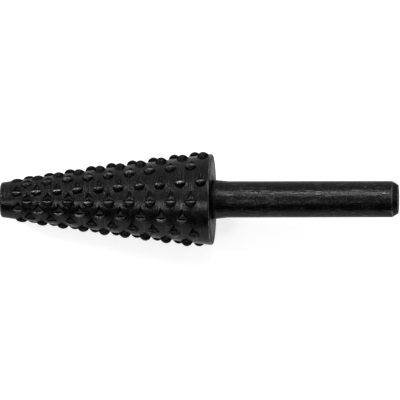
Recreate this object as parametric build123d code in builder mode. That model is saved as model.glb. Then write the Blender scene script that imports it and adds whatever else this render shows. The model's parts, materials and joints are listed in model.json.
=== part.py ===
from build123d import *
import os
from math import atan, cos, degrees, hypot, pi, radians, sin

# A conical rotary rasp for wood, for use in a drill. It is one piece of steel: the tapered head
# and the round shank are turned from one bar, and the teeth are raised from the cone by a
# three-sided punch, which leaves a pointed pit in front of each one.
# Lengths are in millimetres and angles in degrees. "Along" runs down the axis from the tip.

# Head
head_length = 35.0
tip_diameter = 5.75
back_diameter = 15.1
tip_edge_chamfer = 0.25
back_rim_chamfer = 0.2

# Shank
shank_diameter = 6.0
shank_length = 30.6
flare_height = 0.28
flare_length = 2.5
end_chamfer_length = 1.0
end_chamfer_depth = 0.6

# Rings of teeth. Each ring is turned by half a space from the one before, so that the teeth
# also stand in rows down the cone, twice as many as there are teeth in a ring. The rings lean:
# their teeth stray along the cone by as much as ring_lean, and by nothing at level_turn.
teeth_per_ring = 7
ring_spacing = 1.71
first_ring_along = 3.15
back_land = 0.25
ring_lean = 0.39
level_turn = 42.0
row_twist = -4.0

# One tooth: a flat cutting face with an arched top, and a rounded back made of small flats
tooth_width = 2.0
tooth_back_length = 0.7
tooth_height = 0.84
first_tooth_height = 0.4
full_height_along = 17.0
crest_flats = 7
crest_dip = 20
back_flats = 4
back_dip = 55

# The pit in front of it, whose cutter is oversize and runs a little way under the tooth
pit_width = 1.8
pit_length = 1.25
pit_depth = 0.5
pit_oversize = 1.5
pit_overlap = 0.05

# Sizes that follow from these
taper = (back_diameter - tip_diameter) / 2 / head_length
half_angle = atan(taper)
overall_length = head_length + shank_length
row_angle = 360 / (2 * teeth_per_ring)
last_ring_along = head_length - back_land - tooth_width / 2


def cone_radius(along):
    """Radius of the bare cone at a distance from the tip."""
    return tip_diameter / 2 + taper * along


def height_at(along):
    """Height of a tooth: the punch bites less near the thin end, and fully further back."""
    share = (along - first_ring_along) / (full_height_along - first_ring_along)
    return first_tooth_height + (tooth_height - first_tooth_height) * min(share, 1)


def seat(along, turn):
    """Plane on the cone under a tooth: x runs up the taper, y is the way of cutting, z is outward."""
    outward = Vector(0, -sin(radians(turn)), cos(radians(turn)))
    axis = Vector(1, 0, 0)
    return Plane(
        origin=axis * along + outward * cone_radius(along),
        x_dir=axis * cos(half_angle) + outward * sin(half_angle),
        z_dir=outward * cos(half_angle) - axis * sin(half_angle),
    )


def ring_seats(ring):
    """Seats of one ring's teeth, but for those that would run off the back of the head."""
    station = first_ring_along + ring * ring_spacing
    twist = row_twist * (station / head_length - 0.5)
    seats = []
    for tooth in range(teeth_per_ring):
        row = 2 * tooth + (ring + 1) % 2
        turn = (row + 0.5) * row_angle + twist
        along = station + ring_lean * sin(radians(turn - level_turn))
        if along <= last_ring_along:
            seats.append(seat(along, turn))
    return seats


def tooth_shape(height):
    """A tooth: every flat behind the cutting face touches one ball of the right size and depth."""
    half_width = tooth_width / 2
    ahead = (half_width**2 - tooth_back_length**2) / (2 * tooth_back_length)
    below = (half_width**2 - height**2) / (2 * height)
    radius = hypot(half_width, ahead, below)
    centre = Vector(0, ahead, -below)
    with BuildPart() as tooth:
        with Locations(centre):
            Box(3 * radius, 3 * radius, 3 * radius)
        split(bisect_by=Plane.XZ, keep=Keep.TOP)
        for flats, dip in ((crest_flats, radians(crest_dip)), (back_flats, radians(back_dip))):
            for flat in range(flats):
                lean = pi * ((flat + 0.5) / flats - 0.5)
                facing = Vector(sin(lean) * cos(dip), -sin(dip), cos(lean) * cos(dip))
                split(bisect_by=Plane(centre + facing * radius, z_dir=facing), keep=Keep.BOTTOM)
    return tooth.part


def pit_shape(radius):
    """The pit: deepest at the foot of the cutting face, rising to a point on the curved cone."""
    half_width = pit_width / 2 * pit_oversize
    brim = pit_depth * (pit_oversize - 1)
    fall = pit_length**2 / (2 * radius)
    point = Vertex(0, pit_length * pit_oversize, brim - fall * pit_oversize)
    with BuildPart() as pit:
        with BuildSketch(Plane.XZ.offset(pit_overlap)) as wall:
            with BuildLine():
                Polyline((-half_width, brim), (half_width, brim), (0, -pit_depth), close=True)
            make_face()
        loft(sections=[wall.sketch, point])
    return pit.part


# Turned blank
with BuildPart() as blank:
    with BuildSketch(Plane.XZ):
        with BuildLine():
            Polyline(
                (0, 0),
                (0, tip_diameter / 2),
                (head_length, back_diameter / 2),
                (head_length, shank_diameter / 2 + flare_height),
                (head_length + flare_length, shank_diameter / 2),
                (overall_length, shank_diameter / 2),
                (overall_length, 0),
                close=True,
            )
        make_face()
    revolve(axis=Axis.X)
    circles = blank.edges().filter_by(GeomType.CIRCLE)
    chamfer(circles.sort_by(Axis.X)[0], tip_edge_chamfer)
    chamfer(circles.sort_by(SortBy.RADIUS)[-1], back_rim_chamfer)
    shank_end = blank.faces().sort_by(Axis.X)[-1]
    chamfer(shank_end.edges(), end_chamfer_depth, end_chamfer_length, reference=shank_end)

# Pits and teeth, ring by ring
ring_count = int((last_ring_along + ring_lean - first_ring_along) / ring_spacing) + 1
with BuildPart() as pits:
    for ring in range(ring_count):
        pit = pit_shape(cone_radius(first_ring_along + ring * ring_spacing))
        with Locations(ring_seats(ring)):
            add(pit)

with BuildPart() as teeth:
    for ring in range(ring_count):
        tooth = tooth_shape(height_at(first_ring_along + ring * ring_spacing))
        with Locations(ring_seats(ring)):
            add(tooth)

with BuildPart() as toothed:
    add(blank.part)
    add(pits.part, mode=Mode.SUBTRACT)
    add(teeth.part)

# At rest the rasp lies on two neighbouring rows of teeth, with its shank in the air
rest_tilt = degrees(atan(taper * cos(pi / (2 * teeth_per_ring))))
tilted = toothed.part.rotate(Axis.Y, -rest_tilt).bounding_box()
with BuildPart() as rotary_rasp:
    with Locations(Location((-tilted.center().X, -tilted.center().Y, -tilted.min.Z), (0, -rest_tilt, 0))):
        add(toothed.part)

os.makedirs("parts", exist_ok=True)
rotary_rasp.part.label = "rotary_rasp"
export_step(rotary_rasp.part, "parts/rotary_rasp.step")
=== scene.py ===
"""The looks of a conical rotary rasp for wood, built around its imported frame.

The real tool is turned from one bar of steel, and its teeth are raised from the cone by a punch. It is
made the same way here. `TurnedBlank` spins the bare shape, with a fine net of vertices on its cone, and
`PunchedHead` lets `ToothForm` push every tooth and its pit out of that net, so that the whole tool stays
one closed shell. `BlackenedSteel` is its finish, and `Studio` holds the floor, the light and the camera.

"Along" runs down the axis of the rasp from its tip. "Turn" runs around the axis, from the top towards -Y,
which is the lower side of the picture. In use the surface moves towards lower turns, so that each pit
lies at a lower turn than its tooth.
"""

import json
import logging
import math
import random
from dataclasses import astuple, dataclass, fields, replace
from enum import Enum

import bmesh
import bpy
from mathutils import Matrix, Vector, noise


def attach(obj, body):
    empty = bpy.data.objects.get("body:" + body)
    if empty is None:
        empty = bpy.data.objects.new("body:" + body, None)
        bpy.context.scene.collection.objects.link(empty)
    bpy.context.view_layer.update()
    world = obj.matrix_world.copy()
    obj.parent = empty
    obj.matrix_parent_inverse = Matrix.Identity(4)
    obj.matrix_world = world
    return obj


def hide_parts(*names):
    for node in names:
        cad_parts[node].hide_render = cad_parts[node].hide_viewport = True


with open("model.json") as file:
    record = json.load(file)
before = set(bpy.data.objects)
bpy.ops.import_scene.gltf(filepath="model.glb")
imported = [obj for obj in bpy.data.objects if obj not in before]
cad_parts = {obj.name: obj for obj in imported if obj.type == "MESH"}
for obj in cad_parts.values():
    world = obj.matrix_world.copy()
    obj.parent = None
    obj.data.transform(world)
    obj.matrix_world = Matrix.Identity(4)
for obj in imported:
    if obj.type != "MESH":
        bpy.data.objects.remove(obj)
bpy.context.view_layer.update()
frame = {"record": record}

MM = 0.001
# The photograph's scale and its width and height, in pixels.
PX_PER_MM = 6.08
PICTURE = 400
# What the mesh tells its material at each vertex: rubbed crests brightened as a painted highlight,
# and raised metal, with painted shade in the pits.
WEAR_AND_HIGHLIGHT = "crest_wear_and_highlight"
RAISED_AND_PIT_SHADE = "raised_metal_and_pit_shade"
log = logging.getLogger("rotary_rasp")


def mix(start: float, end: float, share: float) -> float:
    """Returns the value that lies a share of the way from start to end."""
    return start + (end - start) * share


def smooth_step(value: float) -> float:
    """Returns 0 below 0 and 1 above 1, with a soft rise between them."""
    value = min(max(value, 0.0), 1.0)
    return value * value * (3 - 2 * value)


def cosine_steps(count: int) -> list[float]:
    """Divides 0 to 1 so that the steps are short at both ends.

    Args:
        count: How many steps there are.

    Returns:
        The count + 1 places, from 0 to 1.
    """
    return [(1 - math.cos(math.pi * step / count)) / 2 for step in range(count + 1)]


def grey(tone: float) -> tuple[float, float, float, float]:
    """Returns a neutral colour."""
    return (tone, tone, tone, 1.0)


@dataclass(frozen=True)
class Ramp:
    """A smooth change from one result to another, by something that is read.

    Attributes:
        low: The reading at which the change begins.
        high: The reading at which it is complete.
        start: The result up to low.
        end: The result from high on.
    """

    low: float
    high: float
    start: float = 0.0
    end: float = 1.0


class Zone(Enum):
    """The part of a tooth's cell that a line of the net shapes."""

    AHEAD = "bare surface on the pit's side"
    PIT = "the pit"
    FACE = "the cutting face"
    EDGE = "the rounded edge over the cutting face"
    BACK = "the rounded back"
    BEHIND = "bare surface behind the tooth"


@dataclass(frozen=True)
class NetLine:
    """One line of the net, which runs along the rasp.

    Attributes:
        zone: What the line shapes.
        share: How far across its zone it lies: from the foot to the point of the pit, from the foot to
            the edge on the cutting face, from there over the edge, from the edge to the base on the
            back, and from the outline of the tooth to the side of its cell on the bare surface.
    """

    zone: Zone
    share: float


@dataclass(frozen=True)
class Spot:
    """A place near a tooth: up the taper, in the way of cutting, and out of the cone.

    Attributes:
        up: Distance up the taper from the middle of the tooth.
        way: Distance in the way of cutting from the crest.
        out: Height over the bare cone.
        wear_and_highlight: From 0 for full black to 1 for a rubbed edge brightened as a painted highlight.
        raised: From 0 for the turned cone to 1 for metal that the punch has raised; pits get painted shade.
    """

    up: float
    way: float
    out: float
    wear_and_highlight: float = 0.0
    raised: float = 0.0


@dataclass(frozen=True)
class ToothForm:
    """The shape that the punch leaves: a steep cutting face, a rounded back and a scooped, pointed pit.

    Attributes:
        height: Height of the crest over the cone.
        half_width: Half the width of the tooth.
        back_length: How far the back reaches behind the crest.
        edge_radius: Radius of the edge over the cutting face, at its middle.
        pit_half_width: Half the width of the pit at the foot of the cutting face.
        pit_length: Length of the pit, from that foot to its point.
        pit_depth: Depth of the pit where it is deepest.
        wall_softness: How its depth falls to the walls: 0.5 is half an ellipse, and more is softer.
        pit_painted_shade: How far the pit is darkened as painted shade, by counting its metal as raised.
        rise_to_foot: How far it rises again to the foot of the cutting face, as a share of its depth.
        deepest: Where it is deepest, from 0 at its point to 1 at that foot.
        fullness: How the tooth's height falls to its sides: 0.5 is half an ellipse, and 1 a parabola.
        back_fullness: How the height falls down the back, in the same way.
        face_place: Distance from the crest to the top of the cutting face, in the way of cutting.
        face_slope: Distance from there to its foot, in the way of cutting.
        least_radius: Radius of the edge at the sides of the tooth.
        pit_point: Width of the pit's point, as a share of its width at the foot.
        lip: Height of the soft swelling around a tooth and its pit.
        smooth_top: Where the back starts to roughen, by the square of the share of the way to its outline.
        rough_side: Where it is fully rough, in the same way.
        back_rub_and_highlight: How rubbed the back is beside the edge, brightened as a painted highlight.
        rubbed_highlit_back: How far down the back that reaches, as a share of its length.
        edge_rub_highlight_power: How late the rub and painted highlight start on the rounded edge.
    """

    height: float
    half_width: float
    back_length: float
    edge_radius: float
    pit_half_width: float
    pit_length: float
    pit_depth: float
    wall_softness: float
    pit_painted_shade: float
    rise_to_foot: float
    deepest: float = 0.55
    fullness: float = 0.6
    back_fullness: float = 1.0
    face_place: float = 0.09 * MM
    face_slope: float = 0.1 * MM
    least_radius: float = 0.02 * MM
    pit_point: float = 0.1
    lip: float = 0.03 * MM
    smooth_top: float = 0.15
    rough_side: float = 0.75
    back_rub_and_highlight: float = 0.5
    rubbed_highlit_back: float = 0.15
    edge_rub_highlight_power: float = 1.5

    def towards(self, other: "ToothForm", share: float) -> "ToothForm":
        """Returns the form that lies a share of the way from this one to another."""
        ends = ((size.name, getattr(self, size.name), getattr(other, size.name)) for size in fields(self))
        return ToothForm(**{name: mix(start, end, share) for name, start, end in ends})

    def rise(self, x: float, y: float) -> float:
        """Gives the height of the tooth at a place in its outline, where the outline lies 1 away.

        Args:
            x: The place over the width of the tooth.
            y: The place down its back.

        Returns:
            The height, which falls more evenly down the back than to the sides.
        """
        left = max(1 - x * x - y * y, 0.0)
        share = y * y / (1 - left) if left < 1 else 0.0
        return self.height * left ** mix(self.fullness, self.back_fullness, share)

    def middle(self, across: float) -> float:
        """Returns 1 over the middle of the tooth, which falls to 0 at its sides."""
        return 1 - across**4

    def back(self, across: float, share: float) -> Spot:
        """Gives a place on the rounded back.

        Args:
            across: From -1 to 1, over the width of the tooth.
            share: From 0 at the rounded edge to 1 at the base.

        Returns:
            The place. The base is rounded, and the sides are rougher than the top.
        """
        start = max(self.radius(across) - self.face_place, 0.0) / self.back_length
        depth = mix(start, 1.0, share)
        # This takes the square of across and depth to a round outline.
        x = across * math.sqrt(1 - depth * depth / 2)
        y = depth * math.sqrt(1 - across * across / 2)
        # The rubbed back beside the edge is brightened as a painted highlight.
        wear_and_highlight = self.back_rub_and_highlight * max(1 - share / self.rubbed_highlit_back, 0.0) * self.middle(across)
        raised = smooth_step((x * x + y * y - self.smooth_top) / (self.rough_side - self.smooth_top))
        return Spot(self.half_width * x, -self.back_length * y, self.rise(x, y), wear_and_highlight, raised)

    def radius(self, across: float) -> float:
        """Returns the radius of the edge over the cutting face, which is smaller at the tooth's sides."""
        return max(min(self.edge_radius, self.rise(across, 0.0) / 2), self.least_radius)

    def edge(self, across: float, share: float) -> Spot:
        """Gives a place on the rounded edge.

        Args:
            across: From -1 to 1, over the width of the tooth.
            share: From 0 at the cutting face to 1 at the back.

        Returns:
            The place, which is most rubbed and brightest as a painted highlight next to the back.
        """
        top = self.back(across, 0.0)
        angle = share * math.pi / 2
        way = mix(top.way, self.face_place, math.cos(angle))
        out = top.out - self.radius(across) * (1 - math.sin(angle))
        # The rubbed part of the edge is brightened as a painted highlight.
        wear_and_highlight = share**self.edge_rub_highlight_power * self.middle(across)
        return Spot(top.up, way, out, wear_and_highlight, mix(1.0, top.raised, share))

    def pit(self, across: float, share: float) -> Spot:
        """Gives a place in the pit.

        Args:
            across: From -1 to 1, from wall to wall.
            share: From 0 at the foot of the cutting face to 1 at the point.

        Returns:
            The place. The pit falls from its point, is deepest near the middle and rises to the foot.
        """
        up = self.pit_half_width * across * mix(1.0, self.pit_point, share)
        foot = self.face_place + self.face_slope
        way = foot + self.pit_length * share * (1 - self.pit_point * across * across * share)
        inward = 1 - share
        if inward < self.deepest:
            fall = math.sin(math.pi / 2 * inward / self.deepest)
        else:
            fall = 1 - self.rise_to_foot * ((inward - self.deepest) / (1 - self.deepest)) ** 2
        out = -self.pit_depth * fall * max(1 - across * across, 0.0) ** self.wall_softness
        # The pit's metal counts as raised, which darkens it as painted shade.
        return Spot(up, way, out, 0.0, self.pit_painted_shade)

    def face(self, across: float, share: float) -> Spot:
        """Gives a place on the cutting face.

        Args:
            across: From -1 to 1, over the width of the tooth.
            share: From 0 at the foot to 1 at the rounded edge.

        Returns:
            The place, on a straight line from the foot to the edge.
        """
        foot = self.pit(across, 0.0)
        edge = self.edge(across, 0.0)
        ends = ((foot.up, edge.up), (foot.way, edge.way), (foot.out, edge.out))
        return Spot(*(mix(low, high, share) for low, high in ends), 0.0, 1.0)

    def spot(self, line: NetLine, across: float) -> Spot:
        """Gives the place where a line of the net crosses the tooth, or its outline beside the tooth.

        Args:
            line: The line of the net.
            across: From -1 to 1 over the width of the tooth.

        Returns:
            The place, measured from the middle of the crest.
        """
        if line.zone is Zone.AHEAD:
            return self.pit(across, 1.0)
        if line.zone is Zone.PIT:
            return self.pit(across, line.share)
        if line.zone is Zone.FACE:
            return self.face(across, line.share)
        if line.zone is Zone.EDGE:
            return self.edge(across, line.share)
        if line.zone is Zone.BACK:
            return self.back(across, line.share)
        return self.back(across, 1.0)


# The sizes of a form that belong to its pit.
PIT_SIZES = ("pit_half_width", "pit_length", "pit_depth", "wall_softness", "pit_painted_shade")
SMALL_TOOTH = ToothForm(
    height=0.4 * MM,
    half_width=0.92 * MM,
    back_length=0.66 * MM,
    edge_radius=0.14 * MM,
    pit_half_width=0.86 * MM,
    pit_length=1.2 * MM,
    pit_depth=0.45 * MM,
    wall_softness=0.7,
    pit_painted_shade=0.75,
    rise_to_foot=0.95,
)
LARGE_TOOTH = ToothForm(
    height=0.82 * MM,
    half_width=0.95 * MM,
    back_length=0.95 * MM,
    edge_radius=0.26 * MM,
    pit_half_width=0.8 * MM,
    pit_length=1.6 * MM,
    pit_depth=0.29 * MM,
    wall_softness=1.6,
    pit_painted_shade=0.3,
    rise_to_foot=1.0,
)


@dataclass(frozen=True)
class TurnedBlank:
    """The bare turned shape, with its axis on X and the middle of its tip at the origin.

    Attributes:
        shank_radius: Radius of the shank.
        shank_wall: Length of its straight wall, from the flare to the chamfer.
        head_length: Length of the head.
        tip_radius: Radius that the cone has at the tip.
        back_radius: Radius that it has at the back of the head.
        tip_chamfer: How far the corner at the tip is cut back, along the cone and down the tip's face.
        rim_chamfer: How far the corner at the rim is cut back, in the same way.
        flare_height: How much wider the shank is where it meets the head.
        flare_length: Length of the flare.
        end_chamfer_length: Length of the chamfer at the shank's end.
        end_chamfer_depth: How much the radius falls over it.
        softening: Distance from each corner at which its rounding starts.
        softening_steps: How many steps the rounding has.
        shank_cuts: How many cuts the shank's wall has, so that its faces aren't too long.
        same_place: Distance within which two vertices are one.
    """

    shank_radius: float
    shank_wall: float
    head_length: float = 35.0 * MM
    tip_radius: float = 2.875 * MM
    back_radius: float = 7.55 * MM
    tip_chamfer: float = 0.25 * MM
    rim_chamfer: float = 0.2 * MM
    flare_height: float = 0.28 * MM
    flare_length: float = 2.5 * MM
    end_chamfer_length: float = 1.0 * MM
    end_chamfer_depth: float = 0.6 * MM
    softening: float = 0.05 * MM
    softening_steps: int = 3
    shank_cuts: int = 9
    same_place: float = 0.00005 * MM

    @property
    def taper(self) -> float:
        """How much the cone's radius grows for each unit along the axis."""
        return (self.back_radius - self.tip_radius) / self.head_length

    @property
    def half_angle(self) -> float:
        """The angle between the cone and the axis."""
        return math.atan(self.taper)

    @property
    def wall_start(self) -> float:
        """Where the softened edge of the tip ends and the bare cone starts."""
        return (self.tip_chamfer + self.softening) * math.cos(self.half_angle)

    @property
    def wall_end(self) -> float:
        """Where the bare cone ends and the softened rim starts."""
        return self.head_length - (self.rim_chamfer + self.softening) * math.cos(self.half_angle)

    @property
    def flare_end(self) -> float:
        """Where the flare ends and the shank's straight wall starts."""
        return self.head_length + self.flare_length

    @property
    def shank_end(self) -> float:
        """Where the shank's straight wall ends and its chamfer starts."""
        return self.flare_end + self.shank_wall

    @property
    def whole_length(self) -> float:
        """Where the face at the end of the shank lies."""
        return self.shank_end + self.end_chamfer_length

    @property
    def middle_of_wall(self) -> float:
        """Distance from the tip to the middle of the shank's straight wall."""
        return self.flare_end + self.shank_wall / 2

    def cone_radius(self, along: float) -> float:
        """Returns the radius of the bare cone at a distance from the tip."""
        return self.tip_radius + self.taper * along

    def place(self, along: float, turn: float, out: float) -> Vector:
        """Gives a point on the cone or over it.

        Args:
            along: Distance from the tip.
            turn: Angle around the axis.
            out: Height over the cone, square to its surface.

        Returns:
            The point, in the blank's own frame.
        """
        along_point = along - out * math.sin(self.half_angle)
        radius = self.cone_radius(along) + out * math.cos(self.half_angle)
        return Vector((along_point, -radius * math.sin(turn), radius * math.cos(turn)))

    def outline(self) -> list[tuple[float, float]]:
        """Gives the section of the blank, from the middle of its tip to the middle of its other end.

        Returns:
            Its corners, each as a distance from the tip and a radius.
        """
        cosine, sine = math.cos(self.half_angle), math.sin(self.half_angle)
        return [
            (0.0, 0.0),
            (0.0, self.tip_radius - self.tip_chamfer),
            (self.tip_chamfer * cosine, self.tip_radius + self.tip_chamfer * sine),
            (self.head_length - self.rim_chamfer * cosine, self.back_radius - self.rim_chamfer * sine),
            (self.head_length, self.back_radius - self.rim_chamfer),
            (self.head_length, self.shank_radius + self.flare_height),
            (self.flare_end, self.shank_radius),
            (self.shank_end, self.shank_radius),
            (self.whole_length, self.shank_radius - self.end_chamfer_depth),
            (self.whole_length, 0.0),
        ]

    def build(self, columns: int, steps: int) -> bmesh.types.BMesh:
        """Turns the blank.

        Args:
            columns: How many parts the cone is divided into along its length.
            steps: How many steps the spin takes.

        Returns:
            A closed shell whose normals point outwards.
        """
        bm = bmesh.new()
        corners = [bm.verts.new((along, 0.0, radius)) for along, radius in self.outline()]
        for start, end in zip(corners, corners[1:]):
            bm.edges.new((start, end))
        bmesh.ops.bevel(
            bm,
            geom=corners[1:-1],
            offset=self.softening,
            offset_type="OFFSET",
            segments=self.softening_steps,
            profile=0.5,
            affect="VERTICES",
            material=-1,
        )
        *_, shank_wall, cone_wall = sorted(bm.edges, key=bmesh.types.BMEdge.calc_length)
        bmesh.ops.subdivide_edges(bm, edges=[shank_wall], cuts=self.shank_cuts)
        bmesh.ops.subdivide_edges(bm, edges=[cone_wall], cuts=columns - 1)
        bmesh.ops.spin(
            bm,
            geom=bm.verts[:] + bm.edges[:],
            cent=(0, 0, 0),
            axis=(1, 0, 0),
            angle=math.tau,
            steps=steps,
            use_merge=True,
        )
        bmesh.ops.remove_doubles(bm, verts=bm.verts[:], dist=self.same_place)
        bmesh.ops.recalc_face_normals(bm, faces=bm.faces[:])
        return bm


@dataclass(frozen=True)
class Tooth:
    """One tooth.

    Attributes:
        along: Distance of its crest from the tip.
        turn: Turn of the middle of its crest.
        form: Its form.
        swing: How far it is turned about the middle of its crest.
        rub_and_highlight: Its rub and painted highlight, as a share of those of the most rubbed one.
    """

    along: float
    turn: float
    form: ToothForm
    swing: float
    rub_and_highlight: float


@dataclass(frozen=True)
class PunchedHead:
    """The rings of teeth, and the net of vertices on the cone that they are pushed out of.

    Each ring is turned by half a space from the one before, so that the teeth stand in rows down the cone
    too. A tooth has a cell of the net to itself. The cells of neighbouring rows are wide where the other's
    are narrow, which makes room for the pits near the thin end.

    Attributes:
        blank: The turned blank.
        small: The form of the first ring's teeth.
        large: The form that the teeth grow to.
        rows: How many rows of teeth there are. A ring has a tooth in every other row.
        rings: How many rings there are.
        ring_spacing: Distance from one ring to the next.
        first_ring: Where the first ring lies.
        last_place: Where the last crest can lie. A tooth that would lie past it is left out.
        ring_lean: How far a ring leans along the axis, to each side of its middle.
        level_turn: The turn at which a ring isn't moved by its lean.
        row_twist: The angle by which the rows turn from end to end of the head.
        full_size_along: Where the teeth reach their full size.
        shallow_along: Where the pits reach the large form's sizes.
        stray: The most that a tooth lies off its place.
        swing: The most that it is turned about its own middle.
        least_height: The least height that it has, as a share of its form's.
        least_rub_and_highlight: The least rub and painted highlight, as a share of the most rubbed one's.
        unevenness: Height of the cone's own waves.
        unevenness_size: Their size.
        seed: The seed of the random draws.
        columns_before: Columns of the net from the start of the cone to the first ring.
        columns_per_ring: Columns from one ring to the next.
        columns_after: Columns from the last ring to the end of the cone.
        end_slack: How far past the cone's ends its vertices may lie, as a share of a column.
        half_block: Columns from the middle of a tooth to its side.
        side_columns: Columns from there to the side of its cell.
        crowding: How much closer the columns lie at a tooth's sides, from 0 for not at all.
        side_power: How much closer the columns beside a tooth lie to it.
        bare_lines: Lines of a cell on the bare surface ahead of the pit.
        pit_steps: Steps from line to line in the pit.
        edge_steps: Steps over the rounded edge.
        back_steps: Steps down the back.
        back_power: How the lines on the back are spaced: under 1, they crowd towards its base.
        cell_shift: How far the middle of a cell lies from the crest, because a pit is longer than a back.
        wave: How much wider a cell gets where its tooth lies, as a share of a row, on each side.
    """

    blank: TurnedBlank
    small: ToothForm = SMALL_TOOTH
    large: ToothForm = LARGE_TOOTH
    rows: int = 14
    rings: int = 19
    ring_spacing: float = 1.71 * MM
    first_ring: float = 3.15 * MM
    last_place: float = 33.75 * MM
    ring_lean: float = 0.39 * MM
    level_turn: float = math.radians(42.0)
    row_twist: float = math.radians(-4.0)
    full_size_along: float = 17.0 * MM
    shallow_along: float = 24.0 * MM
    stray: float = 0.06 * MM
    swing: float = math.radians(4.0)
    least_height: float = 0.92
    least_rub_and_highlight: float = 0.35
    unevenness: float = 0.006 * MM
    unevenness_size: float = 1.3 * MM
    seed: int = 7
    columns_before: int = 17
    columns_per_ring: int = 11
    columns_after: int = 9
    end_slack: float = 0.1
    half_block: int = 7
    side_columns: int = 4
    crowding: float = 0.5
    side_power: float = 1.6
    bare_lines: int = 3
    pit_steps: int = 7
    edge_steps: int = 3
    back_steps: int = 6
    back_power: float = 0.8
    cell_shift: float = 0.33 * MM
    wave: float = 0.34

    @property
    def row_angle(self) -> float:
        """The angle between neighbouring rows."""
        return math.tau / self.rows

    @property
    def columns(self) -> int:
        """How many parts the cone is divided into along its length."""
        return self.columns_before + (self.rings - 1) * self.columns_per_ring + self.columns_after

    def lines(self) -> list[NetLine]:
        """Gives the lines of one cell.

        Returns:
            The lines in the order of their turns, from ahead of the pit to behind the tooth.
        """
        bare = [((step + 1) / self.bare_lines) ** 2 for step in range(self.bare_lines)]
        down = [(step / self.back_steps) ** self.back_power for step in range(self.back_steps + 1)]
        ahead = [NetLine(Zone.AHEAD, share) for share in reversed(bare)]
        pit = [NetLine(Zone.PIT, share) for share in reversed(cosine_steps(self.pit_steps))]
        face = [NetLine(Zone.FACE, 0.5)]
        edge = [NetLine(Zone.EDGE, step / self.edge_steps) for step in range(self.edge_steps)]
        back = [NetLine(Zone.BACK, share) for share in down]
        behind = [NetLine(Zone.BEHIND, share) for share in bare[:-1]]
        return ahead + pit + face + edge + back + behind

    def form_at(self, along: float) -> ToothForm:
        """Gives the form of the teeth of a ring.

        Args:
            along: Where the ring lies.

        Returns:
            The form: the punch raises less near the thin end, and digs deeper. The teeth reach their full
            size sooner than the pits do.
        """
        grown, faded = (
            self.small.towards(self.large, min((along - self.first_ring) / (end - self.first_ring), 1.0))
            for end in (self.full_size_along, self.shallow_along)
        )
        return replace(grown, **{name: getattr(faded, name) for name in PIT_SIZES})

    def twist_at(self, along: float) -> float:
        """Returns the small angle by which the rows have turned at a distance from the tip."""
        return self.row_twist * (min(max(along / self.blank.head_length, 0.0), 1.0) - 0.5)

    def teeth(self) -> dict[tuple[int, int], Tooth]:
        """Draws the teeth, each a little off its exact place.

        Returns:
            Every tooth, by its row and ring.
        """
        draw = random.Random(self.seed)
        found = {}
        for ring in range(self.rings):
            station = self.first_ring + ring * self.ring_spacing
            for row in range((ring + 1) % 2, self.rows, 2):
                turn = (row + 0.5) * self.row_angle + self.twist_at(station)
                along = station + self.ring_lean * math.sin(turn - self.level_turn)
                stray = draw.uniform(-1, 1) * self.stray
                sideways = draw.uniform(-1, 1) * self.stray / self.blank.cone_radius(along)
                form = self.form_at(station)
                form = replace(form, height=form.height * draw.uniform(self.least_height, 1.0))
                swing = draw.uniform(-1, 1) * self.swing
                rub_and_highlight = draw.uniform(self.least_rub_and_highlight, 1.0)
                if along <= self.last_place:
                    along = min(along + stray, self.last_place)
                    found[row, ring] = Tooth(along, turn + sideways, form, swing, rub_and_highlight)
        return found

    def column_along(self, column: int) -> float:
        """Returns the distance from the tip at which a column lies, counted in the spacing of the rings."""
        step = self.ring_spacing / self.columns_per_ring
        return self.first_ring + (column - self.columns_before) * step

    def bare_place(self, column: int, turns: float) -> tuple[float, float]:
        """Gives the place that a vertex of the net has where there is no tooth.

        Args:
            column: Its column, counted from the tip.
            turns: Its line, in rows: 0.5 is the middle line of the first row.

        Returns:
            Its distance from the tip and its turn.
        """
        first_cell = self.columns_before - self.columns_per_ring
        last_ring = self.columns - self.columns_after
        along = self.column_along(column)
        if column < first_cell:
            along = mix(self.blank.wall_start, self.column_along(first_cell), column / first_cell)
        elif column > last_ring:
            share = (column - last_ring) / self.columns_after
            along = mix(self.column_along(last_ring), self.blank.wall_end, share)
        rise = smooth_step(column / first_cell)
        fall = min((self.columns - column) / self.columns_after, 1.0)
        row = math.floor(turns)
        phase = math.pi * (column - self.columns_before) / self.columns_per_ring
        wave = self.wave * (1 - along / self.blank.head_length) * math.cos(phase) * rise
        widening = wave if row % 2 == 1 else -wave
        turn = self.row_angle * (row + 0.5 + (turns - row - 0.5) * (1 + 2 * widening))
        turn += self.twist_at(along) - self.cell_shift / self.blank.cone_radius(along) * rise * fall
        along += self.ring_lean * math.sin(turn - self.level_turn) * rise * fall
        return along, turn

    def across_at(self, offset: int) -> float:
        """Returns how far over the tooth's width a column lies, which is 1 or -1 at the tooth's sides."""
        even = offset / self.half_block
        return mix(even, math.sin(even * math.pi / 2), self.crowding)

    def side_share(self, column: int, offset: int) -> float:
        """Gives how far a column lies from the tooth's side towards the side of its cell.

        Args:
            column: The column, counted from the tip.
            offset: The column, counted from the middle of the tooth.

        Returns:
            0 beside the tooth or over it, and 1 at the side of the cell or at the end of the cone.
        """
        beyond = abs(offset) - self.half_block
        if beyond <= 0:
            return 0.0
        room = self.side_columns
        if offset > 0:
            room = min(room, self.columns - column + beyond)
        return min(beyond / room, 1.0) ** self.side_power

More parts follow.
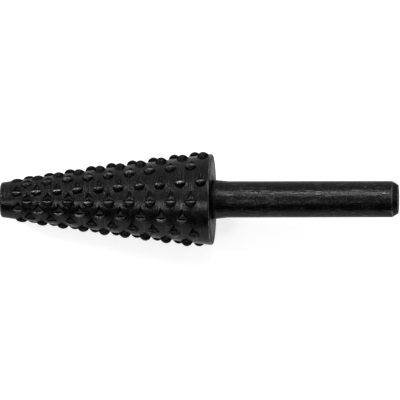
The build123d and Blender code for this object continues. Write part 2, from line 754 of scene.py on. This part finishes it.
    def net_place(
        self, column: int, row: int, line: NetLine, turns: float, teeth: dict[tuple[int, int], Tooth]
    ) -> tuple[float, float, Spot]:
        """Gives the place of one vertex of the net.

        Args:
            column: Its column, counted from the tip.
            row: The row of teeth that it belongs to.
            line: The line of the cell that it lies on.
            turns: Its line, in rows.
            teeth: Every tooth by its row and ring.

        Returns:
            Its distance from the tip, its turn, and a spot with its height over the cone and its finish.
        """
        along, turn = self.bare_place(column, turns)
        parity = (row + 1) % 2
        ring = 2 * round(((column - self.columns_before) / self.columns_per_ring - parity) / 2) + parity
        offset = column - self.columns_before - ring * self.columns_per_ring
        tooth = teeth.get((row, ring))
        if tooth is None:
            return along, turn, Spot(0.0, 0.0, 0.0)
        share = self.side_share(column, offset)
        if line.zone in (Zone.AHEAD, Zone.BEHIND):
            share = max(share, line.share)
        across = min(max(self.across_at(offset), -1.0), 1.0)
        spot = tooth.form.spot(line, across)
        up = spot.up * math.cos(tooth.swing) - spot.way * math.sin(tooth.swing)
        way = spot.up * math.sin(tooth.swing) + spot.way * math.cos(tooth.swing)
        own_along = tooth.along + up * math.cos(self.blank.half_angle)
        own_turn = tooth.turn - way / self.blank.cone_radius(own_along)
        lip = tooth.form.lip * (1 - share) ** 2
        if share == 0:
            return own_along, own_turn, replace(spot, out=spot.out + lip, wear_and_highlight=spot.wear_and_highlight * tooth.rub_and_highlight)
        return mix(own_along, along, share), mix(own_turn, turn, share), Spot(0.0, 0.0, lip)

    def punch(self, bm: bmesh.types.BMesh) -> int:
        """Pushes the teeth out of the cone of a turned blank, and turns both its ends along with the rows.

        Args:
            bm: The blank, turned with this head's columns and lines.

        Returns:
            The number of teeth.
        """
        teeth = self.teeth()
        lines = self.lines()
        steps = self.rows * len(lines)
        start, end = self.blank.wall_start, self.blank.wall_end
        slack = self.end_slack * (end - start) / self.columns
        # These hold the rubbed crests with their painted highlight, and raised metal with painted shade in
        # the pits.
        wear_and_highlight = bm.verts.layers.float.new(WEAR_AND_HIGHLIGHT)
        raised = bm.verts.layers.float.new(RAISED_AND_PIT_SHADE)
        for vert in bm.verts:
            turn = math.atan2(-vert.co.y, vert.co.z)
            radius = math.hypot(vert.co.y, vert.co.z)
            if not start - slack < vert.co.x < end + slack:
                turn += self.twist_at(vert.co.x)
                vert.co = (vert.co.x, -radius * math.sin(turn), radius * math.cos(turn))
                continue
            column = round((vert.co.x - start) / (end - start) * self.columns)
            step = round(turn / math.tau * steps) % steps
            row = step // len(lines)
            line = lines[step % len(lines)]
            along, turn, spot = self.net_place(column, row, line, step / len(lines), teeth)
            vert.co = self.blank.place(along, turn, spot.out)
            fade = smooth_step(min(column, self.columns - column) / self.columns_after)
            bump = noise.noise(vert.co / self.unevenness_size) * self.unevenness * fade
            vert.co = self.blank.place(along, turn, spot.out + bump)
            vert[wear_and_highlight], vert[raised] = spot.wear_and_highlight, spot.raised
        return len(teeth)


class NodeSheet:
    """A material's or the world's node tree, with short calls to add to it.

    Attributes:
        middle: The value that a noise has on the whole.
        detail: How many finer layers a noise has.
        fine_share: How strong each finer layer is, as a share of the one before.
    """

    middle: float = 0.5
    detail: float = 3.0
    fine_share: float = 0.6

    def __init__(self, owner: bpy.types.Material | bpy.types.World) -> None:
        """Empties the owner's node tree and keeps it.

        Args:
            owner: The material or world.
        """
        owner.use_nodes = True
        self.tree = owner.node_tree
        self.tree.nodes.clear()

    def add(
        self, kind: str, settings: dict[str, object] | None = None, **inputs: object
    ) -> bpy.types.Node:
        """Adds a node.

        Args:
            kind: The node's type name.
            settings: Properties to set on the node.
            inputs: Its sockets, by name with underscores for spaces, each set to a value or linked to a
                socket. Sockets that share a name are given by number, as in _0.

        Returns:
            The node.
        """
        node = self.tree.nodes.new(kind)
        for name, value in (settings or {}).items():
            setattr(node, name, value)
        for name, value in inputs.items():
            socket = node.inputs[int(name[1:])] if name[0] == "_" else node.inputs[name.replace("_", " ")]
            if isinstance(value, bpy.types.NodeSocket):
                self.tree.links.new(value, socket)
            else:
                socket.default_value = value
        return node

    def maths(self, operation: str, first: object, second: object = 0.0) -> bpy.types.NodeSocket:
        """Adds a Math node and returns its result."""
        return self.add("ShaderNodeMath", {"operation": operation}, _0=first, _1=second).outputs[0]

    def blend(self, share: object, first: object, second: object) -> bpy.types.NodeSocket:
        """Adds a Mix node for two colours and returns its result."""
        return self.add("ShaderNodeMix", {"data_type": "RGBA"}, _0=share, _6=first, _7=second).outputs[2]

    def attribute(self, name: str) -> bpy.types.NodeSocket:
        """Adds an Attribute node and returns the number that the mesh holds under that name."""
        return self.add("ShaderNodeAttribute", {"attribute_name": name}).outputs["Fac"]

    def span(self, value: object, ramp: Ramp) -> bpy.types.NodeSocket:
        """Adds a Map Range node.

        Args:
            value: The socket to read.
            ramp: What it becomes.

        Returns:
            The result.
        """
        node = self.add("ShaderNodeMapRange", {"interpolation_type": "SMOOTHSTEP"}, Value=value)
        for name, number in zip(("From Min", "From Max", "To Min", "To Max"), astuple(ramp)):
            node.inputs[name].default_value = number
        return node.outputs[0]

    def peak(self, value: object, rise: Ramp, fade: float) -> bpy.types.NodeSocket:
        """Adds a peak.

        Args:
            value: The socket to read.
            rise: The ramp from 0 up to the peak.
            fade: How far past the end of that ramp the peak has fallen to 0 again.

        Returns:
            The height at the value.
        """
        fall = Ramp(rise.high, rise.high + fade, 1.0, 0.0)
        return self.maths("MULTIPLY", self.span(value, rise), self.span(value, fall))

    def cloud(self, place: bpy.types.NodeSocket, size: float) -> bpy.types.NodeSocket:
        """Adds a noise.

        Args:
            place: The place to read it at.
            size: The size of its spots.

        Returns:
            Its value, which is about `middle` on the whole.
        """
        inputs = {"Vector": place, "Scale": 1 / size, "Detail": self.detail, "Roughness": self.fine_share}
        return self.add("ShaderNodeTexNoise", {"noise_dimensions": "3D"}, **inputs).outputs["Fac"]

    def from_middle(self, cloud: bpy.types.NodeSocket, strength: object) -> bpy.types.NodeSocket:
        """Returns how far a noise is over its middle value, times a strength."""
        return self.maths("MULTIPLY", self.maths("SUBTRACT", cloud, self.middle), strength)

    def bump(
        self, height: bpy.types.NodeSocket, depth: float, **below: bpy.types.NodeSocket
    ) -> bpy.types.NodeSocket:
        """Adds a relief.

        Args:
            height: The height, as a share of the depth.
            depth: The depth of the relief.
            below: The normal of the relief that it lies on, as Normal, where there is one.

        Returns:
            The normal of the surface.
        """
        return self.add("ShaderNodeBump", Strength=1.0, Distance=depth, Height=height, **below).outputs[0]


@dataclass(frozen=True)
class Readings:
    """What the finish of the steel follows, each as a socket of its material.

    Attributes:
        along: Distance from the tip.
        radius: Distance from the axis.
        on_shank: 1 on the shank, and little on the head.
        on_head: 1 on the head, and little on the shank.
        speck: Fine specks.
        blotch: Wide blotches.
        grain: Streaky blotches of the drawn bar.
        marks: Rings that the lathe left.
    """

    along: bpy.types.NodeSocket
    radius: bpy.types.NodeSocket
    on_shank: bpy.types.NodeSocket
    on_head: bpy.types.NodeSocket
    speck: bpy.types.NodeSocket
    blotch: bpy.types.NodeSocket
    grain: bpy.types.NodeSocket
    marks: bpy.types.NodeSocket


@dataclass(frozen=True)
class BlackenedSteel:
    """Steel with a black oxide finish, satin and mottled, with fine marks of turning.

    The metal that the punch has raised is rougher and blacker, and its pits are darkened as painted shade.
    The edges of the teeth are rubbed and brightened as a painted highlight. The back face, darkest at its
    edge and root, and the shank's chamfer and end carry painted shade. The rims of the head and of the
    shank's chamfer carry a painted highlight.

    Attributes:
        blank: The turned blank, which says where the faces and rims lie.
        colour: Tone of the finish.
        pale_colour: Tone of its pale specks, streaks and rings.
        raised_and_shade_colour: Tone of the darkest metal: raised metal and the painted shade.
        rubbed_and_highlight_colour: Tone of rubbed metal and of the painted highlights.
        raised_roughness: How much rougher raised metal and the painted shade are.
        rub_polish: How much smoother rubbed metal is.
        edge_tint: Tone of the metal's reflection at a grazing angle.
        raised_and_shade_edge_tint: The same for raised metal and the painted shade.
        speck: Size of the specks.
        blotch: Size of the blotches.
        grain: Width of the bar's streaks.
        grain_stretch: Their width on the shank, as a share of their length there.
        turning_mark: Width of a turned ring.
        turning_drift: How far round a ring stays the same.
        speck_depth: Depth of the specks.
        grain_depth: Depth of the streaks on the shank.
        mark_depth: Depth of the rings on the cone.
        shank_marks: Strength of the rings on the shank, where 1 is that on the cone.
        facing_marks: Their strength on the flat faces, in the same way.
        carried_over: How much of the shank's streaks the head has, and of the head's pale rings the shank.
        rub_highlight_by_blotch: How rubbed an edge is, with its painted highlight, by the blotches.
        pale_by_speck: How pale the specks are, by their own value.
        pale_by_blotch: The same by the blotches.
        pale_by_grain: How pale the streaks are.
        pale_by_marks: How pale the rings are.
        black_by_speck: How black raised metal and the painted shade are, by the specks.
        rough_by_blotch: The roughness, by the blotches.
        rough_by_speck: What the specks add to it.
        face_black: Painted shade on the back face, by the share of the way out to its rim.
        root_black: The same near its middle, where the back face meets the shank.
        root_length: How far past the back face the painted shade on the flare is full.
        root_fade: How far past it the flare and the shank have their own finish.
        chamfer_black: Painted shade on the shank's chamfer.
        rim_width: Width over which a rim's finish rises.
        rim_fade: Width over which a rim's painted highlight falls again.
        rim_highlight: How bright the painted highlight on the rims is, as a share of rubbed metal.
    """

    blank: TurnedBlank
    colour: float = 0.013
    pale_colour: float = 0.055
    raised_and_shade_colour: float = 0.003
    rubbed_and_highlight_colour: float = 0.34
    raised_roughness: float = 0.15
    rub_polish: float = 0.21
    edge_tint: float = 0.62
    raised_and_shade_edge_tint: float = 0.35
    speck: float = 0.2 * MM
    blotch: float = 1.6 * MM
    grain: float = 0.42 * MM
    grain_stretch: float = 0.22
    turning_mark: float = 0.17 * MM
    turning_drift: float = 6.0 * MM
    speck_depth: float = 0.014 * MM
    grain_depth: float = 0.07 * MM
    mark_depth: float = 0.04 * MM
    shank_marks: float = 0.3
    facing_marks: float = 4.0
    carried_over: float = 0.15
    rub_highlight_by_blotch: Ramp = Ramp(0.42, 0.58, 0.3, 1.0)
    pale_by_speck: Ramp = Ramp(0.45, 0.7, 0.0, 0.35)
    pale_by_blotch: Ramp = Ramp(0.4, 0.6, 0.3, 1.0)
    pale_by_grain: Ramp = Ramp(0.54, 0.68, 0.0, 0.6)
    pale_by_marks: Ramp = Ramp(0.52, 0.68, 0.0, 0.45)
    black_by_speck: Ramp = Ramp(0.5, 0.7, 1.0, 0.4)
    rough_by_blotch: Ramp = Ramp(0.35, 0.65, 0.19, 0.29)
    rough_by_speck: Ramp = Ramp(0.35, 0.65, -0.04, 0.06)
    face_black: Ramp = Ramp(0.7, 0.98, 0.55, 1.0)
    root_black: Ramp = Ramp(0.5, 0.6, 1.0, 0.0)
    root_length: float = 0.05 * MM
    root_fade: float = 0.7 * MM
    chamfer_black: float = 0.3
    rim_width: float = 0.12 * MM
    rim_fade: float = 0.096 * MM
    rim_highlight: float = 0.4

    def material(self, tip: Vector, tilt: float) -> bpy.types.Material:
        """Builds the material.

        Args:
            tip: The middle of the rasp's tip.
            tilt: How far the rasp's axis rises towards its shank.

        Returns:
            The material, whose patterns follow the rasp's axis.
        """
        material = bpy.data.materials.new("blackened_steel")
        sheet = NodeSheet(material)
        read = self.readings(sheet, tip, tilt)
        # The rubbed crests with their painted highlight, joined by the painted highlight along the rims.
        wear_and_highlight = sheet.maths("MAXIMUM", sheet.attribute(WEAR_AND_HIGHLIGHT), self.rims(sheet, read))
        rub_and_highlight = sheet.maths("MULTIPLY", wear_and_highlight, sheet.span(read.blotch, self.rub_highlight_by_blotch))
        # Raised metal, with painted shade in its pits, and painted shade on the back face and the shank's
        # end.
        raised = sheet.maths("MAXIMUM", sheet.attribute(RAISED_AND_PIT_SHADE), self.painted_face_shade(sheet, read))
        shader = sheet.add(
            "ShaderNodeBsdfPrincipled",
            Base_Color=self.tone(sheet, read, raised, rub_and_highlight),
            Metallic=1.0,
            Roughness=self.roughness(sheet, read, raised, rub_and_highlight),
            Specular_Tint=sheet.blend(raised, grey(self.edge_tint), grey(self.raised_and_shade_edge_tint)),
            Normal=self.relief(sheet, read),
        )
        sheet.add("ShaderNodeOutputMaterial", Surface=shader.outputs[0])
        return material

    def readings(self, sheet: NodeSheet, tip: Vector, tilt: float) -> Readings:
        """Adds what the finish follows.

        Args:
            sheet: The material's nodes.
            tip: The middle of the rasp's tip.
            tilt: How far the rasp's axis rises towards its shank.

        Returns:
            The sockets.
        """
        place = sheet.add("ShaderNodeTexCoord").outputs["Object"]
        own = sheet.add(
            "ShaderNodeMapping",
            {"vector_type": "TEXTURE"},
            Vector=place,
            Location=tip,
            Rotation=(0, -tilt, 0),
        ).outputs[0]
        along, side, height = sheet.add("ShaderNodeSeparateXYZ", Vector=own).outputs
        around = sheet.add("ShaderNodeCombineXYZ", Y=side, Z=height).outputs[0]
        radius = sheet.add("ShaderNodeVectorMath", {"operation": "LENGTH"}, _0=around).outputs["Value"]
        head = self.blank.head_length
        on_shank = sheet.span(along, Ramp(head, head + self.root_fade, self.carried_over, 1.0))
        stretch = sheet.span(along, Ramp(head, head + self.root_fade, 1.0, self.grain_stretch))
        drawn = sheet.maths("MULTIPLY", along, stretch)
        streak = sheet.add("ShaderNodeCombineXYZ", X=drawn, Y=side, Z=height)
        ring = sheet.add(
            "ShaderNodeCombineXYZ",
            X=sheet.maths("DIVIDE", sheet.maths("ADD", along, radius), self.turning_mark),
            Y=sheet.maths("DIVIDE", side, self.turning_drift),
            Z=sheet.maths("DIVIDE", height, self.turning_drift),
        )
        return Readings(
            along=along,
            radius=radius,
            on_shank=on_shank,
            on_head=sheet.maths("SUBTRACT", 1.0 + self.carried_over, on_shank),
            speck=sheet.cloud(own, self.speck),
            blotch=sheet.cloud(own, self.blotch),
            grain=sheet.cloud(streak.outputs[0], self.grain),
            marks=sheet.cloud(ring.outputs[0], 1.0),
        )

    def tone(
        self, sheet: NodeSheet, read: Readings, raised: bpy.types.NodeSocket, rub_and_highlight: bpy.types.NodeSocket
    ) -> bpy.types.NodeSocket:
        """Mixes the colour.

        Args:
            sheet: The material's nodes.
            read: What the finish follows.
            raised: How much the metal counts as raised, with the painted shade added.
            rub_and_highlight: How rubbed it is, with the painted highlights.

        Returns:
            The colour: specks, streaks and rings pale, raised metal and painted shade black, and rubbed
            edges and painted highlights bright.
        """
        specks = sheet.span(read.speck, self.pale_by_speck)
        specks = sheet.maths("MULTIPLY", specks, sheet.span(read.blotch, self.pale_by_blotch))
        streaks = sheet.maths("MULTIPLY", sheet.span(read.grain, self.pale_by_grain), read.on_shank)
        rings = sheet.maths("MULTIPLY", sheet.span(read.marks, self.pale_by_marks), read.on_head)
        pale = sheet.maths("ADD", sheet.maths("ADD", specks, streaks), rings)
        black = sheet.maths("MULTIPLY", raised, sheet.span(read.speck, self.black_by_speck))
        colour = sheet.blend(pale, grey(self.colour), grey(self.pale_colour))
        colour = sheet.blend(black, colour, grey(self.raised_and_shade_colour))
        return sheet.blend(rub_and_highlight, colour, grey(self.rubbed_and_highlight_colour))

    def roughness(
        self, sheet: NodeSheet, read: Readings, raised: bpy.types.NodeSocket, rub_and_highlight: bpy.types.NodeSocket
    ) -> bpy.types.NodeSocket:
        """Adds up the roughness.

        Args:
            sheet: The material's nodes.
            read: What the finish follows.
            raised: How much the metal counts as raised, with the painted shade added.
            rub_and_highlight: How rubbed it is, with the painted highlights.

        Returns:
            The roughness: mottled, more on raised metal and painted shade, and less on rubbed edges and
            painted highlights.
        """
        rough = sheet.span(read.blotch, self.rough_by_blotch)
        rough = sheet.maths("ADD", rough, sheet.span(read.speck, self.rough_by_speck))
        rough = sheet.maths("ADD", rough, sheet.maths("MULTIPLY", raised, self.raised_roughness))
        return sheet.maths("SUBTRACT", rough, sheet.maths("MULTIPLY", rub_and_highlight, self.rub_polish))

    def relief(self, sheet: NodeSheet, read: Readings) -> bpy.types.NodeSocket:
        """Lays the specks, the shank's streaks and the turned rings over each other.

        Args:
            sheet: The material's nodes.
            read: What the finish follows.

        Returns:
            The normal of the surface.
        """
        grain = sheet.from_middle(read.grain, read.on_shank)
        marks = sheet.from_middle(read.marks, self.mark_strength(sheet, read))
        normal = sheet.bump(read.speck, self.speck_depth)
        normal = sheet.bump(grain, self.grain_depth, Normal=normal)
        return sheet.bump(marks, self.mark_depth, Normal=normal)

    def mark_strength(self, sheet: NodeSheet, read: Readings) -> bpy.types.NodeSocket:
        """Gives the strength of the turned rings.

        Args:
            sheet: The material's nodes.
            read: What the finish follows.

        Returns:
            1 on the cone, less on the shank and more on the flat faces.
        """
        head = self.blank.head_length
        total = sheet.span(read.along, Ramp(head, head + self.root_fade, 1.0, self.shank_marks))
        for place in (head, self.blank.whole_length):
            rise = Ramp(place - self.rim_width / 2, place, 0.0, self.facing_marks - 1.0)
            total = sheet.maths("ADD", sheet.peak(read.along, rise, self.rim_width), total)
        return total

    def rims(self, sheet: NodeSheet, read: Readings) -> bpy.types.NodeSocket:
        """Marks the rim of the head and the edge of the shank's chamfer, which carry a painted highlight.

        Args:
            sheet: The material's nodes.
            read: What the finish follows.

        Returns:
            How bright the painted highlight is there, and 0 elsewhere.
        """
        # A painted highlight along each rim.
        total = 0.0
        for place in (self.blank.head_length - self.rim_width, self.blank.shank_end + self.rim_width):
            rise = Ramp(place - self.rim_width, place, 0.0, self.rim_highlight)
            total = sheet.maths("ADD", sheet.peak(read.along, rise, self.rim_fade), total)
        return total

    def painted_face_shade(self, sheet: NodeSheet, read: Readings) -> bpy.types.NodeSocket:
        """Marks painted shade on the back face, at its edge and root, and on the shank's chamfer and end.

        Args:
            sheet: The material's nodes.
            read: What the finish follows.

        Returns:
            How dark the painted shade is there, and 0 elsewhere.
        """
        # Painted shade: the back face, darker at its edge and root, the flare beside it, and the shank's
        # chamfer and end.
        head, shank, end = self.blank.head_length, self.blank.shank_end, self.blank.whole_length
        reach = sheet.maths("DIVIDE", read.radius, self.blank.back_radius)
        edge, root = sheet.span(reach, self.face_black), sheet.span(reach, self.root_black)
        on_face = sheet.span(read.along, Ramp(head - self.rim_width / 2, head))
        face = sheet.maths("MULTIPLY", on_face, sheet.maths("MAXIMUM", edge, root))
        fall = sheet.span(read.along, Ramp(head + self.root_length, head + self.root_fade, 1.0, 0.0))
        chamfer = sheet.span(read.along, Ramp(shank, shank + self.rim_width, 0.0, self.chamfer_black))
        butt = sheet.span(read.along, Ramp(end - self.rim_width / 2, end, 0.0, 1.0 - self.chamfer_black))
        return sheet.maths("ADD", sheet.maths("MULTIPLY", face, fall), sheet.maths("ADD", chamfer, butt))


@dataclass
class RotaryRasp:
    """The whole tool, which is one piece: the punched head on its shank.

    Attributes:
        blank: The turned blank that it is made from.
        tip: The middle of its tip, where it lies.
        axis: The direction of its axis, from the tip to the shank.
    """

    blank: TurnedBlank
    tip: Vector
    axis: Vector

    @classmethod
    def from_frame(cls) -> "RotaryRasp":
        """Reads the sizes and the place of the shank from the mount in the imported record.

        Returns:
            The rasp, where the mount says that it lies.
        """
        mount = frame["record"]["mounts"][0]
        axis = Vector(mount["axis"]).normalized()
        sizes = mount["dims"]
        blank = TurnedBlank(shank_radius=sizes["r_mm"] * MM, shank_wall=sizes["length_mm"] * MM)
        return cls(blank, Vector(mount["pos_m"]) - axis * blank.middle_of_wall, axis)

    @property
    def tilt(self) -> float:
        """How far the axis rises towards the shank."""
        return math.asin(self.axis.z)

    @property
    def stand(self) -> Matrix:
        """The matrix that takes the rasp from its own frame to where it lies."""
        return Matrix.Translation(self.tip) @ Matrix.Rotation(-self.tilt, 4, "Y")

    def build(self) -> bpy.types.Object:
        """Makes the piece and dresses it.

        Returns:
            The piece, riding in the place of its CAD node.
        """
        head = PunchedHead(self.blank)
        bm = self.blank.build(head.columns, head.rows * len(head.lines()))
        count = head.punch(bm)
        bmesh.ops.transform(bm, matrix=self.stand, verts=bm.verts)
        for face in bm.faces:
            face.smooth = True
        mesh = bpy.data.meshes.new("punched_rasp")
        bm.to_mesh(mesh)
        bm.free()
        piece = bpy.data.objects.new("punched_rasp", mesh)
        bpy.context.scene.collection.objects.link(piece)
        weighting = piece.modifiers.new("weighted_normals", "WEIGHTED_NORMAL")
        weighting.mode = "FACE_AREA"
        mesh.materials.append(BlackenedSteel(self.blank).material(self.tip, self.tilt))
        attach(piece, "root")
        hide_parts("rotary_rasp")
        log.info("rasp: %d teeth, %d faces", count, len(mesh.polygons))
        return piece


@dataclass(frozen=True)
class Softbox:
    """A soft lamp, which looks as bright as a white surface at a level of 1.

    Attributes:
        name: What the lamp is called.
        along: The place on the axis that it points at, measured from the tip.
        across: Its direction from the top of the rasp towards the picture's lower side.
        lean: Its direction from there towards the tip.
        level: How bright it looks.
        wide: Its size along the rasp.
        deep: Its size across the rasp.
        distance: How far off it is.
    """

    name: str
    along: float
    across: float
    lean: float
    level: float
    wide: float = 0.06
    deep: float = 0.06
    distance: float = 0.3

    @property
    def way(self) -> Vector:
        """The direction in which the lamp lies, seen from the rasp."""
        outwards = Vector((0, -math.sin(self.across), math.cos(self.across)))
        return outwards * math.cos(self.lean) - Vector((math.sin(self.lean), 0, 0))

    def build(self, rasp: RotaryRasp) -> None:
        """Hangs the lamp and points it at its place on the rasp.

        Args:
            rasp: The tool to light.
        """
        data = bpy.data.lights.new(self.name, "AREA")
        data.shape = "RECTANGLE"
        data.size, data.size_y = self.wide, self.deep
        data.energy = self.level * math.pi * self.wide * self.deep
        target = rasp.tip + rasp.axis * self.along
        up = self.way.cross(Vector((1, 0, 0))).normalized()
        stand = Matrix((up.cross(self.way), up, self.way)).transposed().to_4x4()
        lamp = bpy.data.objects.new(self.name, data)
        lamp.matrix_world = Matrix.Translation(target + self.way * self.distance) @ stand
        bpy.context.scene.collection.objects.link(lamp)
        log.info("lamp: %s", self.name)


STRIP = Softbox(
    name="strip",
    along=50.0 * MM,
    across=math.radians(-29.0),
    lean=math.radians(5.0),
    level=25.0,
    wide=0.07,
)
KEY = Softbox(
    name="key",
    along=17.5 * MM,
    across=math.radians(26.0),
    lean=math.radians(20.0),
    level=18.0,
)
GLINT = Softbox(
    name="glint",
    along=17.5 * MM,
    across=math.radians(-35.0),
    lean=math.radians(60.0),
    level=70.0,
    wide=0.045,
    deep=0.045,
)


@dataclass(frozen=True)
class Studio:
    """A white floor, a soft room, soft lamps and the camera.

    Attributes:
        rasp: The tool to show.
        floor_size: Length of each side of the floor.
        view_turn: Direction of the camera from the top of the rasp towards -Y.
        view_lean: Direction of the camera from there towards the shank.
        view_roll: How far the picture is turned.
        view_along: The place on the axis in the middle of the picture's width, measured from the tip.
        axis_above_middle: How far the axis lies over the middle of the picture's height.
        distance: How far off the camera is.
        sensor_mm: Width of its sensor in millimetres.
        nearest: Where its view starts.
        furthest: Where its view ends.
        walls: Level of the room's light by the direction that it comes from, from -1 at -Y to 1 at +Y.
        floor_tone: Tone of the floor.
        floor_glow: What lifts the floor in the picture and in reflections.
        lamps: The lamps.
    """

    rasp: RotaryRasp
    floor_size: float = 4.0
    view_turn: float = math.radians(9.16)
    view_lean: float = math.radians(5.0)
    view_roll: float = math.radians(-0.1)
    view_along: float = 32.9 * MM
    axis_above_middle: float = 0.57 / PX_PER_MM * MM
    distance: float = 2.0
    sensor_mm: float = 36.0
    nearest: float = 0.01
    furthest: float = 20.0
    walls: Ramp = Ramp(-0.8, 0.45, 0.1, 0.95)
    floor_tone: float = 0.5
    floor_glow: float = 0.72
    lamps: tuple[Softbox, ...] = (STRIP, KEY, GLINT)

    def build(self) -> None:
        """Builds the floor, the world, the lamps and the camera."""
        self.floor()
        self.world()
        for lamp in self.lamps:
            lamp.build(self.rasp)
        self.camera(self.rasp.tip + self.rasp.axis * self.view_along)
        bpy.context.scene.view_settings.view_transform = "Standard"

    def floor(self) -> None:
        """Lays the floor: matt white, lifted for the camera so that it joins a white page."""
        bm = bmesh.new()
        bmesh.ops.create_grid(bm, x_segments=1, y_segments=1, size=self.floor_size / 2)
        mesh = bpy.data.meshes.new("floor")
        bm.to_mesh(mesh)
        bm.free()
        floor = bpy.data.objects.new("floor", mesh)
        bpy.context.scene.collection.objects.link(floor)
        material = bpy.data.materials.new("white_floor")
        sheet = NodeSheet(material)
        rays = sheet.add("ShaderNodeLightPath")
        seen = sheet.maths("MAXIMUM", rays.outputs["Is Camera Ray"], rays.outputs["Is Glossy Ray"])
        seen = sheet.maths("MAXIMUM", seen, rays.outputs["Is Transmission Ray"])
        glow = sheet.add("ShaderNodeEmission", Strength=sheet.maths("MULTIPLY", seen, self.floor_glow))
        matt = sheet.add("ShaderNodeBsdfDiffuse", Color=grey(self.floor_tone))
        both = sheet.add("ShaderNodeAddShader", _0=matt.outputs[0], _1=glow.outputs[0])
        sheet.add("ShaderNodeOutputMaterial", Surface=both.outputs[0])
        mesh.materials.append(material)

    def world(self) -> None:
        """Lights everything softly, with a darker wall on the side of the picture's lower edge."""
        world = bpy.data.worlds.new("soft_room")
        sheet = NodeSheet(world)
        way = sheet.add("ShaderNodeTexCoord").outputs["Generated"]
        side = sheet.add("ShaderNodeSeparateXYZ", Vector=way).outputs[1]
        level = sheet.span(side, self.walls)
        back = sheet.add("ShaderNodeBackground", Color=grey(1.0), Strength=level)
        sheet.add("ShaderNodeOutputWorld", Surface=back.outputs[0])
        bpy.context.scene.world = world

    def camera(self, target: Vector) -> None:
        """Aims the camera so that the rasp's axis lies level in the picture.

        Args:
            target: The point on the axis that is shown in the middle of the picture's width.
        """
        axis = self.rasp.axis
        top = axis.cross(Vector((0, 1, 0)))
        radial = Vector((0, -math.sin(self.view_turn), 0)) + top * math.cos(self.view_turn)
        back = radial * math.cos(self.view_lean) + axis * math.sin(self.view_lean)
        right = (axis - back * axis.dot(back)).normalized()
        up = back.cross(right)
        data = bpy.data.cameras.new("camera")
        data.sensor_width = self.sensor_mm
        data.lens = self.sensor_mm * self.distance / (PICTURE / PX_PER_MM * MM)
        data.clip_start, data.clip_end = self.nearest, self.furthest
        camera = bpy.data.objects.new("camera", data)
        place = target - up * self.axis_above_middle + back * self.distance
        stand = Matrix((right, up, back)).transposed().to_4x4() @ Matrix.Rotation(self.view_roll, 4, "Z")
        camera.matrix_world = Matrix.Translation(place) @ stand
        bpy.context.scene.collection.objects.link(camera)
        bpy.context.scene.camera = camera


def main() -> None:
    """Builds the rasp and its studio."""
    logging.basicConfig(level=logging.INFO, format="%(name)s: %(message)s")
    rasp = RotaryRasp.from_frame()
    rasp.build()
    Studio(rasp).build()


if __name__ == "__main__":
    main()
